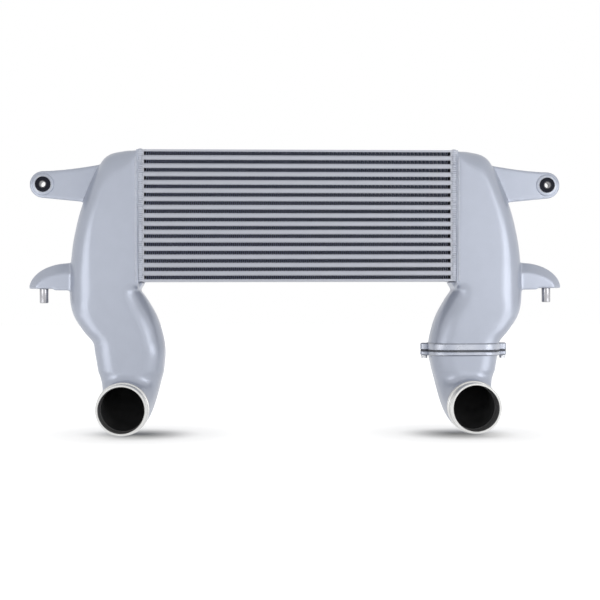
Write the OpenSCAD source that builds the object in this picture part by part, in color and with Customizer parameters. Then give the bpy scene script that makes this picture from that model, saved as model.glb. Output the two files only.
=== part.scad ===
// Air to air intercooler: a bar and plate core between two cast end tanks.
// The right tank ends in a bolted outlet elbow, the left tank is one casting.
// Millimetres, +X to the viewer's right, -Y to the front, +Z up.
// The origin is midway between the two upper mounting holes.

/* [Core] */
// Width of the core over its header bars
core_w = 564; // [480:2:640]
// Depth of the core from front to back
core_d = 90; // [76:1:100]
// Drop from the upper mounting holes to the middle of the core
core_drop = 59; // [50:1:70]
// Number of rows that the outside air passes through
air_rows = 16; // [14:1:18]
// Height of an outside air row
air_row_h = 6.9; // [6:0.1:8]
// Height of a charge air passage
charge_row_h = 6.5; // [5.5:0.1:7.5]
// Thickness of a parting sheet
sheet_t = 0.7; // [0.5:0.1:1]
// Thickness of the top and bottom side plates
side_plate_t = 3.7; // [3:0.1:5]
// Width of a front or rear closing bar
closing_bar_w = 9; // [7:0.5:11]
// Width of a header bar at each end of an outside air row
header_bar_w = 6.5; // [5:0.5:8]
// Thickness of the folded fin strip
fin_t = 0.4; // [0.3:0.05:0.5]
// Length of one fold of an outside air fin
air_fin_pitch = 6.4; // [5:0.2:9]
// Length of one fold of a charge air fin
charge_fin_pitch = 5; // [4:0.2:7]
// Distance of the outside air fins behind the faces of the core
air_fin_inset = 1.5; // [0.5:0.1:3]
// Braze film between a fin crest and its sheet
braze_gap = 0.05; // [0.02:0.01:0.1]

/* [End tanks] */
// Wall of the cast tanks
tank_wall = 4; // [3:0.25:5]
// Depth of the tanks from front to back
tank_d = 96; // [92:1:106]
// How far a tank stands out from the end of the core
tank_bulge = 131; // [120:1:140]
// Drop from the bottom of the core to the widest place of a tank
bulge_drop = 23; // [15:1:30]
// Length of the flat on top of a tank
shoulder_flat = 32; // [24:1:40]
// How far the rounded shoulder reaches out
shoulder_out = 78; // [70:1:88]
// How far the rounded shoulder comes down
shoulder_drop = 27; // [20:1:34]
// Drop from the bottom of the core to the corner of the throat
throat_drop = 13.5; // [10:0.5:18]
// Distance from the end of the core out to the corner of the throat
throat_out = 5; // [4:0.5:7]
// Radius of the round flank of a tank at its widest place
flank_r = 46; // [40:1:47]
// Thickness of the weld flange at the mouth of a tank
weld_flange_t = 7; // [6:0.5:9]
// Wall of the weld flange
weld_flange_wall = 5; // [4.5:0.25:6]
// How far the weld flange stands proud of the casting behind it
weld_flange_step = 0.7; // [0.4:0.1:1.5]
// Width of the weld bead
bead_w = 11; // [8:0.5:12]
// Height of the weld bead
bead_h = 2; // [1:0.25:3]

/* [Neck and outlet] */
// Width of the tank's neck at the height of the joint
neck_w = 126; // [116:1:132]
// Distance from the middle of the part to the middle of the neck
neck_x = 304; // [298:1:312]
// Drop from the bottom of the core to the joint
joint_drop = 126; // [110:1:140]
// Corner radius of the neck on its far side
neck_r_out = 32; // [26:1:38]
// Corner radius of the neck on the side of the core
neck_r_in = 36; // [28:1:40]
// Width of the neck where the bend begins
bend_w = 113; // [100:1:120]
// Radius of the outlet bend at its middle line
bend_r = 62; // [56:1:70]
// Distance from the middle of the part to an outlet
outlet_x = 311; // [300:1:322]
// Drop from the bottom of the core to the outlets
outlet_drop = 225; // [210:1:240]
// How far the rim of an outlet stands in front of the core
outlet_reach = 60; // [50:1:75]
// Outer diameter of the hose spigot
spigot_d = 89; // [80:1:96]
// Bore of the hose spigot
spigot_bore = 81; // [72:1:86]
// How much wider the casting is than the spigot at its neck
spigot_shoulder = 3; // [2:0.5:5]
// Distance from the rim to the hose bead
hose_bead_back = 30; // [20:1:34]
// Radius of the round hose bead
hose_bead_r = 2.8; // [1.5:0.1:4]
// Chamfer at the rim of the spigot
rim_chamfer = 0.8; // [0.4:0.1:1.5]

/* [Joint flange] */
// Thickness of the flange on the tank
upper_flange_t = 13.5; // [10:0.5:16]
// Thickness of the flange on the elbow
lower_flange_t = 8.5; // [7:0.5:12]
// How far the flanges stand out from the neck
flange_lip = 2.5; // [1.5:0.5:5]
// Thickness of the gasket
gasket_t = 1; // [0.6:0.1:2]
// Radius of a bolt lug
lug_r = 7.5; // [7:0.5:9]
// Distance from the neck to the bolt on the side of the core
inner_lug_out = 7.5; // [7:0.5:11]
// Distance from the neck to the bolt on the far side
outer_lug_out = 11.5; // [8:0.5:14]
// Diameter of a flange bolt
bolt_d = 6; // [5:0.5:7]
// Bolt hole clearance on the diameter
bolt_clearance = 0.6; // [0.4:0.1:1]
// Width of a bolt head across its flats
bolt_head_af = 10; // [8:0.5:11]
// Height of a bolt head
bolt_head_h = 4; // [3:0.25:5]
// Diameter of a washer
washer_d = 12.5; // [11:0.5:14]
// Thickness of a washer
washer_t = 1.6; // [1:0.1:2]

/* [Ears and grommets] */
// Distance from the widest place of a tank out to its upper mounting hole
mount_out = 48; // [42:1:60]
// Radius of the round end of an ear
ear_r = 24.5; // [22:0.5:28]
// Thickness of an ear
ear_t = 10; // [8:0.5:12]
// Thickness of the pad around the grommet
ear_pad_t = 14; // [13:0.5:18]
// Radius of the pad around the grommet
ear_pad_r = 20; // [17:0.5:22]
// Rise of the upper edge of an ear towards the tank
ear_rise = 13; // [8:0.5:16]
// Fall of the lower edge of an ear towards the tank
ear_fall = 7.5; // [4:0.5:10]
// Diameter of the hole that holds the grommet
grommet_hole_d = 22; // [20:0.5:24]
// Diameter of the grommet's lips
grommet_d = 28; // [26:0.5:30]
// Thickness of each lip of the grommet
grommet_lip_t = 3; // [2:0.25:4]
// Outer diameter of the mounting sleeve
sleeve_d = 14; // [13:0.25:15]
// Bore of the mounting sleeve
sleeve_bore = 10.6; // [8:0.1:11]
// How far the sleeve stands out of the grommet at each end
sleeve_stand = 0.5; // [0:0.1:1.5]
// Clearance between parts pressed together
press_gap = 0.04; // [0.02:0.01:0.1]

/* [Lower brackets and pins] */
// Distance from the widest place of a tank out to its locating pin
pin_out = 47; // [40:1:52]
// Diameter of a locating pin
pin_d = 16; // [14:0.5:18]
// Length of a locating pin below its bracket
pin_l = 26; // [20:1:32]
// Diameter of the shank pressed into the bracket
shank_d = 10; // [8:0.5:12]
// Length of the shank pressed into the bracket
shank_l = 20; // [14:1:22]
// Chamfer at the tip of a pin
pin_chamfer = 1; // [0.5:0.25:2]
// Drop from the bottom of the core to the underside of a bracket
bracket_drop = 12.5; // [8:0.5:18]
// Length of a bracket out from its tank
bracket_l = 74; // [70:1:82]
// Height of a bracket at its tank
bracket_h = 47; // [42:1:52]
// Length by which the side faces are shorter than the ridge
bracket_bevel_l = 15; // [10:1:18]
// Height by which the side faces are lower than the ridge
bracket_bevel_h = 18.5; // [12:0.5:22]
// Width of a bracket from front to back
bracket_w = 42; // [36:1:50]
// Width of the ridge along the top of a bracket
bracket_ridge_w = 5; // [3:0.5:8]
// Length of the thicker foot beside the tank
foot_l = 26; // [20:1:32]
// Height of the thicker foot beside the tank
foot_h = 2.7; // [1.5:0.1:4]

/* [Hidden] */
charge_rows = air_rows - 1;
passage_h = charge_row_h + 2 * sheet_t;
row_pitch = air_row_h + passage_h;
core_h = 2 * side_plate_t + air_rows * air_row_h + charge_rows * passage_h;
core_end = core_w / 2;
core_top = core_h / 2 - core_drop;
core_bottom = core_top - core_h;
core_front = -core_d / 2;

// Places of the neck, the joint and the outlet
bulge_x = core_end + tank_bulge;
bulge_z = core_bottom - bulge_drop;
joint_z = core_bottom - joint_drop;
outlet_z = core_bottom - outlet_drop;
outlet_y = core_front - outlet_reach;
bend_z = outlet_z + bend_r;
spigot_r = spigot_d / 2;
outlet_neck_r = spigot_r + spigot_shoulder / 2;
neck_in = neck_x - neck_w / 2;
neck_out = neck_x + neck_w / 2;
ear_x = bulge_x + mount_out;
pin_x = bulge_x + pin_out;
bracket_z = core_bottom - bracket_drop;
hex_r = bolt_head_af / 2 / cos(30);

// How the flank swells from the shoulder to its widest place
flank_power = 2.35;

// Least flat between two corner arcs, and the least radius of an inner corner
corner_margin = 0.3;
least_inner_r = 1.5;

// Corner radii where the bend begins, its place on the way to the outlet,
// and how fast it narrows to the round neck
bend_r_out = 38;
bend_r_in = 40;
bend_shift = 0.1;
bend_power = 2.3;

// How the upper edge of an ear curves up to its root
ear_power = 1.6;

// Depth to which the round hose bead is sunk into the spigot
hose_bead_sunk = 0.4;

// Thickness of the web in the throat where it meets the tank
web_t = 3;

// Chamfer on the lips of a grommet
grommet_chamfer = 1;

// Fineness of the cast surfaces
corner_steps = 5;
ring_steps = 3;
bend_steps = 8;
ear_steps = 10;
bracket_steps = 12;
$fn = 64;

function numbered(name, i) = str(name, i < 10 ? "0" : "", i);

function mix(a, b, t) = a + (b - a) * t;

// Height of the underside of outside air row i, counted from the top
function air_row_z(i) = core_top - side_plate_t - (i - 1) * row_pitch - air_row_h;

// Height of the underside of charge air passage i, between its sheets
function charge_row_z(i) = air_row_z(i) - sheet_t - charge_row_h;

// A smooth curve through b and c, with a and d as its neighbours
function curve(a, b, c, d, t) =
    0.5 * (2 * b + (c - a) * t + (2 * a - 5 * b + 4 * c - d) * t * t
        + (3 * b - a - 3 * c + d) * t * t * t);

// Stations blended into more stations, with the two ends kept
function blended(k, steps) =
    let (
        last = len(k) - 1,
        p = concat([2 * k[0] - k[1]], k, [2 * k[last] - k[last - 1]])
    )
    concat(
        [for (i = [1:last]) for (j = [0:steps - 1])
            curve(p[i - 1], p[i], p[i + 1], p[i + 2], j / steps)],
        [k[last]]
    );

// A quarter circle of points about x, y from the angle a0
function corner(x, y, r, a0) =
    [for (k = [0:corner_steps])
        [x + r * cos(a0 + 90 * k / corner_steps), y + r * sin(a0 + 90 * k / corner_steps)]];

// A rounded rectangle of half width a and half depth b, with its own radii out and in
function rounded(a, b, r_out, r_in) =
    let (
        most = min(a, b) - corner_margin,
        o = min(r_out, most),
        i = min(r_in, most)
    )
    concat(
        corner(a - o, b - o, o, 0),
        corner(i - a, b - i, i, 90),
        corner(i - a, i - b, i, 180),
        corner(a - o, o - b, o, 270)
    );

// Where a tank's flank is at the height z, between its shoulder and its widest place
function flank_x(z) =
    let (way = (z - bulge_z) / (core_top - shoulder_drop - bulge_z))
    bulge_x - (tank_bulge - shoulder_out) * pow(max(way, 0), flank_power);

// A station of the throat: s is its place on the way round the corner
function throat_station(share_x, share_z, out, half_d, r_out, r_in, thick) =
    [core_end + share_x * throat_out, core_bottom - share_z * throat_drop,
        out[0], out[1], half_d, r_out, r_in, thick];

// A station of the neck, by shares of the way in and down at its inner and outer sides
function neck_station(in_x, in_z, out_x, out_z, r_out, r_in) =
    let (corner_x = core_end + throat_out, corner_z = core_bottom - throat_drop)
    [mix(corner_x, neck_in, in_x), mix(corner_z, joint_z, in_z),
        mix(bulge_x, neck_out, out_x), mix(bulge_z, joint_z, out_z),
        tank_d / 2, r_out, r_in, 0];

// A station of a tank is the inner x and z, the outer x and z, the half depth,
// the outer and inner corner radius, and the extra wall at the inner corner
mouth_half_d = core_d / 2 - weld_flange_step;
shoulder_z = core_top - shoulder_drop;
flank_z = [for (share = [0.284, 0.547, 0.784]) mix(shoulder_z, bulge_z, share)];
tank_key_stations = [
    [core_end + weld_flange_t / 2, core_bottom + weld_flange_step,
        core_end + weld_flange_t / 2, core_top - weld_flange_step,
        mouth_half_d, 6, 2, 0],
    throat_station(0.72, 0.43, [core_end + shoulder_flat, core_top + 0.2],
        mix(mouth_half_d, tank_d / 2, 0.2), 20, 3, 5),
    throat_station(0.8, 0.72, [mix(core_end + shoulder_flat, core_end + shoulder_out, 0.6),
        core_top - shoulder_drop * 0.23], mix(mouth_half_d, tank_d / 2, 0.45), 28, 4, 7),
    throat_station(0.9, 0.87, [core_end + shoulder_out, shoulder_z],
        mix(mouth_half_d, tank_d / 2, 0.75), 34, 5, 6),
    throat_station(1, 0.94, [flank_x(flank_z[0]), flank_z[0]], tank_d / 2, 40, 6, 3.5),
    throat_station(1, 1, [flank_x(flank_z[1]), flank_z[1]], tank_d / 2, flank_r - 2, 6, 1.5),
    throat_station(0.9, 1.09, [flank_x(flank_z[2]), flank_z[2]], tank_d / 2, flank_r, 7, 0.3),
    neck_station(0.07, 0.04, 0, 0, flank_r, 10),
    neck_station(0.33, 0.18, 0.15, 0.335, 40, 24),
    neck_station(0.68, 0.44, 0.545, 0.63, 34, 30),
    neck_station(0.91, 0.73, 0.93, 0.84, 30, 34),
    neck_station(1, 1, 1, 1, neck_r_out, neck_r_in)
];
bend_x = mix(neck_x, outlet_x, bend_shift);
bend_station = [bend_x - bend_w / 2, bend_z, bend_x + bend_w / 2, bend_z,
    tank_d / 2, bend_r_out, bend_r_in, 0];
elbow_mouth_station = neck_station(1, 1, 1, 1, neck_r_out, neck_r_in)
    - [0, gasket_t, 0, gasket_t, 0, 0, 0, 0];

// A closed ring of points at a station, set in from the outer surface
function station_ring(s, inset) =
    let (
        length = norm([s[2] - s[0], s[3] - s[1]]),
        dir = [s[2] - s[0], s[3] - s[1]] / length,
        thick = inset > 0 ? s[7] : 0,
        half = (length - thick) / 2 - inset,
        mid = [s[0], s[1]] + dir * (length + thick) / 2
    )
    [for (p = rounded(half, s[4] - inset,
            max(s[5] - inset, least_inner_r), max(s[6] - inset, least_inner_r)))
        [mid[0] + p[0] * dir[0], p[1], mid[1] + p[0] * dir[1]]];

// A ring of the outlet bend, t from its start to its end
function bend_ring(t, inset) =
    let (
        s = bend_station,
        turn = 90 * t,
        ease = t * t * (3 - 2 * t),
        mid_x = mix((s[0] + s[2]) / 2, outlet_x, t * t),
        half = outlet_neck_r + ((s[2] - s[0]) / 2 - outlet_neck_r) * pow(1 - t, bend_power),
        deep = mix(s[4], outlet_neck_r, ease),
        r_out = mix(s[5], outlet_neck_r, ease) - inset,
        r_in = mix(s[6], outlet_neck_r, ease) - inset
    )
    [for (p = rounded(half - inset, deep - inset, r_out, r_in))
        [mid_x + p[0], -bend_r * (1 - cos(turn)) + p[1] * cos(turn),
            bend_z - bend_r * sin(turn) - p[1] * sin(turn)]];

function rings(stations, inset) =
    [for (s = blended(stations, ring_steps)) station_ring(s, inset)];

function bend_rings(inset) = [for (k = [1:bend_steps]) bend_ring(k / bend_steps, inset)];

function joined(rings) = [for (ring = rings) for (p = ring) p];

// A hollow casting between a set of outer rings and a set of inner rings
module duct(outer, inner) {
    count = len(outer);
    n = len(outer[0]);
    total = count * n;
    skin = [for (i = [0:count - 2]) for (j = [0:n - 1])
        let (a = i * n + j, b = i * n + (j + 1) % n) each [[a, b, b + n], [a, b + n, a + n]]];
    lining = [for (f = skin) [f[2] + total, f[1] + total, f[0] + total]];
    ends = [for (j = [0:n - 1])
        let (k = (j + 1) % n, e = total - n) each [
            [j, j + total, k], [k, j + total, k + total],
            [j + e, k + e, j + e + total], [k + e, k + e + total, j + e + total]
        ]];
    polyhedron(concat(joined(outer), joined(inner)), concat(skin, lining, ends), convexity = 8);
}

module on_left() {
    mirror([1, 0, 0]) children();
}

// A folded strip of the length w and height h, with its folds along Z
module folded_strip(w, h, pitch) {
    folds = max(2, 2 * round(w / pitch));
    step = w / folds;
    rise = (h - fin_t) / 2;
    line = [for (i = [0:folds]) [i * step - w / 2, i % 2 == 0 ? -rise : rise]];
    polygon(concat(
        [for (p = line) p - [0, fin_t / 2]],
        [for (i = [folds:-1:0]) line[i] + [0, fin_t / 2]]
    ));
}

module side_plate(z) {
    color("silver")
        translate([-core_end, core_front, z])
            cube([core_w, core_d, side_plate_t]);
}

module top_side_plate() {
    side_plate(core_top - side_plate_t);
}

module bottom_side_plate() {
    side_plate(core_bottom);
}

module ambient_fin(i) {
    fin_w = core_w - 2 * header_bar_w - 2 * braze_gap;
    fin_d = core_d - 2 * air_fin_inset;
    color([0.1, 0.1, 0.12])
        translate([0, fin_d / 2, air_row_z(i) + air_row_h / 2])
            rotate([90, 0, 0])
                linear_extrude(fin_d)
                    folded_strip(fin_w, air_row_h - 2 * braze_gap, air_fin_pitch);
}

module charge_fin(i) {
    fin_d = core_d - 2 * closing_bar_w - 2 * braze_gap;
    color("dimgray")
        translate([-core_end, 0, charge_row_z(i) + charge_row_h / 2])
            rotate([90, 0, 90])
                linear_extrude(core_w)
                    folded_strip(fin_d, charge_row_h - 2 * braze_gap, charge_fin_pitch);
}

module parting_sheets() {
    color("silver")
        for (i = [1:charge_rows])
            for (z = [charge_row_z(i) - sheet_t, charge_row_z(i) + charge_row_h])
                translate([-core_end, core_front, z])
                    cube([core_w, core_d, sheet_t]);
}

module closing_bars(y) {
    color("silver")
        for (i = [1:charge_rows])
            translate([-core_end, y, charge_row_z(i)])
                cube([core_w, closing_bar_w, charge_row_h]);
}

module front_closing_bars() {
    closing_bars(core_front);
}

module rear_closing_bars() {
    closing_bars(-core_front - closing_bar_w);
}

module right_header_bars() {
    color("silver")
        for (i = [1:air_rows])
            translate([core_end - header_bar_w, core_front, air_row_z(i)])
                cube([header_bar_w, core_d, air_row_h]);
}

module left_header_bars() {
    on_left() right_header_bars();
}

// The frame at the mouth of a tank that is welded to the core
module weld_flange() {
    translate([core_end, 0, (core_top + core_bottom) / 2])
        rotate([90, 0, 90])
            linear_extrude(weld_flange_t)
                difference() {
                    square([core_d, core_h], center = true);
                    square([core_d, core_h] - [2, 2] * weld_flange_wall, center = true);
                }
}

// The cast web that fills the corner under the end of the core
module throat_web() {
    translate([0, core_d / 2, 0])
        rotate([90, 0, 0])
            linear_extrude(core_d)
                polygon([
                    [core_end - header_bar_w, core_bottom],
                    [core_end + throat_out, core_bottom],
                    [core_end + throat_out + web_t / 2, core_bottom - throat_drop + web_t],
                    [core_end + throat_out, core_bottom - throat_drop - web_t / 4]
                ]);
}

// The ear's outline, rooted in the wall of the tank
module ear_outline() {
    root_top = ear_r + ear_rise;
    root_low = -ear_r - ear_fall;
    root = [for (s = blended(tank_key_stations, ring_steps))
        if (s[3] < root_top && s[3] > root_low && s[2] > core_end + shoulder_flat)
            [s[2] - tank_wall / 2, s[3]]];
    top_x = flank_x(root_top) - tank_wall / 2;
    low_x = flank_x(root_low) - tank_wall / 2;
    upper = [for (k = [0:ear_steps])
        let (t = k / ear_steps) [mix(ear_x, top_x, t), ear_r + ear_rise * pow(t, ear_power)]];
    union() {
        polygon(concat(
            upper,
            root,
            [[low_x, root_low], [ear_x, -ear_r]]
        ));
        translate([ear_x, 0])
            circle(ear_r);
    }
}

module ear() {
    difference() {
        union() {
            translate([0, ear_t / 2, 0])
                rotate([90, 0, 0])
                    linear_extrude(ear_t)
                        ear_outline();
            translate([ear_x, ear_pad_t / 2, 0])
                rotate([90, 0, 0])
                    cylinder(h = ear_pad_t, r = ear_pad_r);
        }
        translate([ear_x, ear_pad_t, 0])
            rotate([90, 0, 0])
                cylinder(h = 2 * ear_pad_t, d = grommet_hole_d);
    }
}

// A quarter of an ellipse that stands on the bracket's base line
module bracket_slice(l, h, t) {
    x0 = bulge_x - tank_wall * 2;
    translate([0, t / 2, 0])
        rotate([90, 0, 0])
            linear_extrude(t)
                polygon(concat(
                    [[x0, bracket_z]],
                    [for (k = [0:bracket_steps])
                        let (a = 90 * k / bracket_steps)
                        [bulge_x + l * cos(a), bracket_z + h * sin(a)]],
                    [[x0, bracket_z + h]]
                ));
}

// The lower bracket, with the hole for the pin's shank
module bracket() {
    skin_r = min(flank_r, tank_d / 2 - corner_margin) - tank_wall / 2;
    side_l = bracket_l - bracket_bevel_l;
    side_h = bracket_h - bracket_bevel_h;
    difference() {
        union() {
            hull() {
                bracket_slice(bracket_l, bracket_h, bracket_ridge_w);
                bracket_slice(side_l, side_h, bracket_w);
            }
            translate([bulge_x - 2 * tank_wall, -bracket_w / 2, bracket_z - foot_h])
                cube([2 * tank_wall + foot_l, bracket_w, 2 * foot_h]);
        }
        translate([bulge_x - tank_wall / 2 - skin_r, 0, bracket_z - foot_h - 1])
            cylinder(h = bracket_h + foot_h + 2, r = skin_r);
        translate([pin_x, 0, bracket_z - 1])
            cylinder(h = shank_l + 2, d = shank_d + 2 * press_gap);
    }
}

// The machined hose spigot with its bead
module spigot() {
    start = bend_r - tank_wall;
    length = -outlet_y - start;
    translate([outlet_x, -start, outlet_z])
        rotate([90, 0, 0]) {
            rotate_extrude()
                polygon([
                    [spigot_bore / 2, 0],
                    [spigot_r, 0],
                    [spigot_r, length - rim_chamfer],
                    [spigot_r - rim_chamfer, length],
                    [spigot_bore / 2 + rim_chamfer, length],
                    [spigot_bore / 2, length - rim_chamfer]
                ]);
            rotate_extrude()
                translate([spigot_r - hose_bead_sunk, length - hose_bead_back])
                    circle(hose_bead_r + hose_bead_sunk, $fn = 32);
        }
}

module flange_outline() {
    difference() {
        union() {
            translate([neck_x, 0])
                polygon(rounded(neck_w / 2 + flange_lip, tank_d / 2 + flange_lip,
                    neck_r_out, neck_r_in));
            for (x = [neck_in - inner_lug_out, neck_out + outer_lug_out]) {
                translate([x, 0])
                    circle(lug_r);
                translate([(x + neck_x) / 2, 0])
                    square([abs(x - neck_x), 2 * lug_r], center = true);
            }
        }
        translate([neck_x, 0])
            polygon(rounded(neck_w / 2 - tank_wall, tank_d / 2 - tank_wall,
                neck_r_out - tank_wall, neck_r_in - tank_wall));
    }
}

module at_bolts() {
    for (x = [neck_in - inner_lug_out, neck_out + outer_lug_out])
        translate([x, 0, joint_z])
            children();
}

module flange(z, t, hole_d) {
    difference() {
        translate([0, 0, z])
            linear_extrude(t)
                flange_outline();
        at_bolts()
            cylinder(h = 2 * (upper_flange_t + lower_flange_t), d = hole_d, center = true);
    }
}

module tank_body() {
    weld_flange();
    throat_web();
    ear();
    bracket();
}

module left_end_tank() {
    stations = concat(tank_key_stations, [bend_station]);
    color("lightsteelblue")
        on_left() {
            duct(
                concat(rings(stations, 0), bend_rings(0)),
                concat(rings(stations, tank_wall), bend_rings(tank_wall))
            );
            tank_body();
            spigot();
        }
}

module right_end_tank() {
    color("lightsteelblue") {
        duct(rings(tank_key_stations, 0), rings(tank_key_stations, tank_wall));
        tank_body();
        flange(joint_z, upper_flange_t, bolt_d);
    }
}

module outlet_elbow() {
    stations = [elbow_mouth_station, bend_station];
    color("lightsteelblue") {
        duct(
            concat(rings(stations, 0), bend_rings(0)),
            concat(rings(stations, tank_wall), bend_rings(tank_wall))
        );
        flange(joint_z - gasket_t - lower_flange_t, lower_flange_t, bolt_d + bolt_clearance);
        spigot();
    }
}

module flange_gasket() {
    color([0.08, 0.08, 0.08])
        flange(joint_z - gasket_t, gasket_t, bolt_d + bolt_clearance);
}

// Hexagon bolts put in from below
module flange_bolts() {
    grip = gasket_t + lower_flange_t + washer_t;
    color("gainsboro")
        at_bolts() {
            translate([0, 0, -grip])
                cylinder(h = grip + upper_flange_t, d = bolt_d - 2 * press_gap);
            translate([0, 0, -grip - bolt_head_h])
                cylinder(h = bolt_head_h, r = hex_r, $fn = 6);
        }
}

module flange_washers() {
    color("gainsboro")
        at_bolts()
            translate([0, 0, -gasket_t - lower_flange_t - washer_t])
                difference() {
                    cylinder(h = washer_t, d = washer_d);
                    translate([0, 0, -1])
                        cylinder(h = washer_t + 2, d = bolt_d + bolt_clearance);
                }
}

// A round bar along the front or the back of the joint between core and tank
module upright_bead(side, arc_r, low, high) {
    translate([core_end, side * (core_d / 2 + bead_h - arc_r), low])
        cylinder(h = high - low, r = arc_r);
}

// A round bar along the top of the joint between core and tank
module top_bead(arc_r, length) {
    translate([core_end, length / 2, core_top + bead_h - arc_r])
        rotate([90, 0, 0])
            cylinder(h = length, r = arc_r);
}

// A bead of weld metal over the front, the top and the back of the joint
module right_weld_bead() {
    arc_r = (bead_w * bead_w / 4 + bead_h * bead_h) / (2 * bead_h);
    color("lightgray")
        difference() {
            union() {
                top_bead(arc_r, core_d);
                for (side = [-1, 1]) {
                    upright_bead(side, arc_r, core_bottom, core_top);
                    intersection() {
                        upright_bead(side, arc_r, core_bottom, core_top + 2 * bead_h);
                        top_bead(arc_r, core_d + 4 * bead_h);
                    }
                }
            }
            translate([core_end - 2 * bead_w, core_front, core_bottom - 1])
                cube([4 * bead_w, core_d, core_h + 1]);
        }
}

module left_weld_bead() {
    on_left() right_weld_bead();
}

module right_grommet() {
    half = ear_pad_t / 2;
    color([0.05, 0.05, 0.05])
        translate([ear_x, 0, 0])
            rotate([90, 0, 0])
                rotate_extrude()
                    polygon([
                        [sleeve_d / 2 + press_gap, -half - grommet_lip_t],
                        [grommet_d / 2 - grommet_chamfer, -half - grommet_lip_t],
                        [grommet_d / 2, grommet_chamfer - half - grommet_lip_t],
                        [grommet_d / 2, -half],
                        [grommet_hole_d / 2 - press_gap, -half],
                        [grommet_hole_d / 2 - press_gap, half],
                        [grommet_d / 2, half],
                        [grommet_d / 2, half + grommet_lip_t - grommet_chamfer],
                        [grommet_d / 2 - grommet_chamfer, half + grommet_lip_t],
                        [sleeve_d / 2 + press_gap, half + grommet_lip_t]
                    ]);
}

module left_grommet() {
    on_left() right_grommet();
}

module right_mount_sleeve() {
    length = ear_pad_t + 2 * grommet_lip_t + 2 * sleeve_stand;
    color("gainsboro")
        translate([ear_x, length / 2, 0])
            rotate([90, 0, 0])
                difference() {
                    cylinder(h = length, d = sleeve_d);
                    translate([0, 0, -1])
                        cylinder(h = length + 2, d = sleeve_bore);
                }
}

module left_mount_sleeve() {
    on_left() right_mount_sleeve();
}

module right_locating_pin() {
    color("gainsboro")
        translate([pin_x, 0, bracket_z])
            rotate_extrude()
                polygon([
                    [0, shank_l],
                    [0, -pin_l],
                    [pin_d / 2 - pin_chamfer, -pin_l],
                    [pin_d / 2, pin_chamfer - pin_l],
                    [pin_d / 2, 0],
                    [shank_d / 2, 0],
                    [shank_d / 2, shank_l]
                ]);
}

module left_locating_pin() {
    on_left() right_locating_pin();
}

top_side_plate();
bottom_side_plate();
for (i = [1:air_rows])
    ambient_fin(i);
for (i = [1:charge_rows])
    charge_fin(i);
parting_sheets();
front_closing_bars();
rear_closing_bars();
left_header_bars();
right_header_bars();
left_end_tank();
right_end_tank();
outlet_elbow();
flange_gasket();
flange_bolts();
flange_washers();
left_weld_bead();
right_weld_bead();
left_grommet();
right_grommet();
left_mount_sleeve();
right_mount_sleeve();
left_locating_pin();
right_locating_pin();
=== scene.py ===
"""The looks of an air to air intercooler: cast and painted end tanks, a bar and plate core,
weld beads, machined hose spigots, rubber grommets and ground locating pins."""

import math

import bmesh
import bpy
from mathutils import Matrix, Vector


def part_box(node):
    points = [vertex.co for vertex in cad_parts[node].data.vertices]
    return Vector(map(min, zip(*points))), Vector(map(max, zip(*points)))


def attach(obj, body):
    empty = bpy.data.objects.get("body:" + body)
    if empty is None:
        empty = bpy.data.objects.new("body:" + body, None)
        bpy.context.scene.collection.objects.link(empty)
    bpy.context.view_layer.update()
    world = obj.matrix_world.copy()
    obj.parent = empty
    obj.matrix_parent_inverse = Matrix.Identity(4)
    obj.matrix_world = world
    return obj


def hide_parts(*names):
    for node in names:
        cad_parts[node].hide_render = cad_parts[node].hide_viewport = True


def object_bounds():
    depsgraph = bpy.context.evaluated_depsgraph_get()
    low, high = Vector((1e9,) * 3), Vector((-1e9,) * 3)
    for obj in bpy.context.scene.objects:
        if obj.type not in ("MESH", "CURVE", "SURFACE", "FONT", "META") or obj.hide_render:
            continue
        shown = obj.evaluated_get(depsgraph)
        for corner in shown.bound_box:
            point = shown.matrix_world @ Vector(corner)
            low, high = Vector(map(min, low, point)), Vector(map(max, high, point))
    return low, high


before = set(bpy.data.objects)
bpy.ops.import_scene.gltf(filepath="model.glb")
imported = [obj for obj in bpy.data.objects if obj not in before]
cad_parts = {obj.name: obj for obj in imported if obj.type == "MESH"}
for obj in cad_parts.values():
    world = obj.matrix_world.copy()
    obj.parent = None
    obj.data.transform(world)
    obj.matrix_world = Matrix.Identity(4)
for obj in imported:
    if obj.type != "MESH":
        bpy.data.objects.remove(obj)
cad_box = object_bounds()

# Meshes are written in millimetres and made in metres
MM = 0.001

# The core, measured from the frame
CORE_LOW, CORE_HIGH = (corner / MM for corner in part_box("top_side_plate"))
CORE_END = CORE_HIGH.x
CORE_TOP = CORE_HIGH.z
CORE_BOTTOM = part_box("bottom_side_plate")[0].z / MM
CORE_D = CORE_HIGH.y - CORE_LOW.y

# The end tanks
TANK_WALL = 4
TANK_D = 96
TANK_BULGE = 131
BULGE_X = CORE_END + TANK_BULGE
BULGE_Z = CORE_BOTTOM - 23
SHOULDER_FLAT = 32
SHOULDER_OUT = 78
SHOULDER_DROP = 27
THROAT_DROP = 13.5
THROAT_OUT = 5
FLANK_R = 46
FLANK_POWER = 2.35
WELD_FLANGE_T = 7
WELD_FLANGE_WALL = 5
WELD_FLANGE_STEP = 0.7
WEB_D = 56

# The neck, the outlet bend and the spigot
NECK_W = 126
NECK_X = 304
NECK_R_OUT = 34
NECK_R_IN = 36
JOINT_Z = CORE_BOTTOM - 126
BEND_W = 113
BEND_R = 62
BEND_R_OUT = 34
BEND_R_IN = 40
OUTLET_X = 311
OUTLET_Z = CORE_BOTTOM - 225
BEND_Z = OUTLET_Z + BEND_R
BEND_X = NECK_X + 0.1 * (OUTLET_X - NECK_X)
SPIGOT_R = 44.5
SPIGOT_SIDES = 160
BORE_R = 40.5
RAW_BORE_R = BORE_R - 0.8
BORE_BAND = 40
OUTLET_NECK_R = 46
RIM = -cad_box[0].y / MM
HOSE_BEAD_BACK = 30
HOSE_BEAD_R = 2.8
RIM_CHAMFER = 0.8

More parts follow.
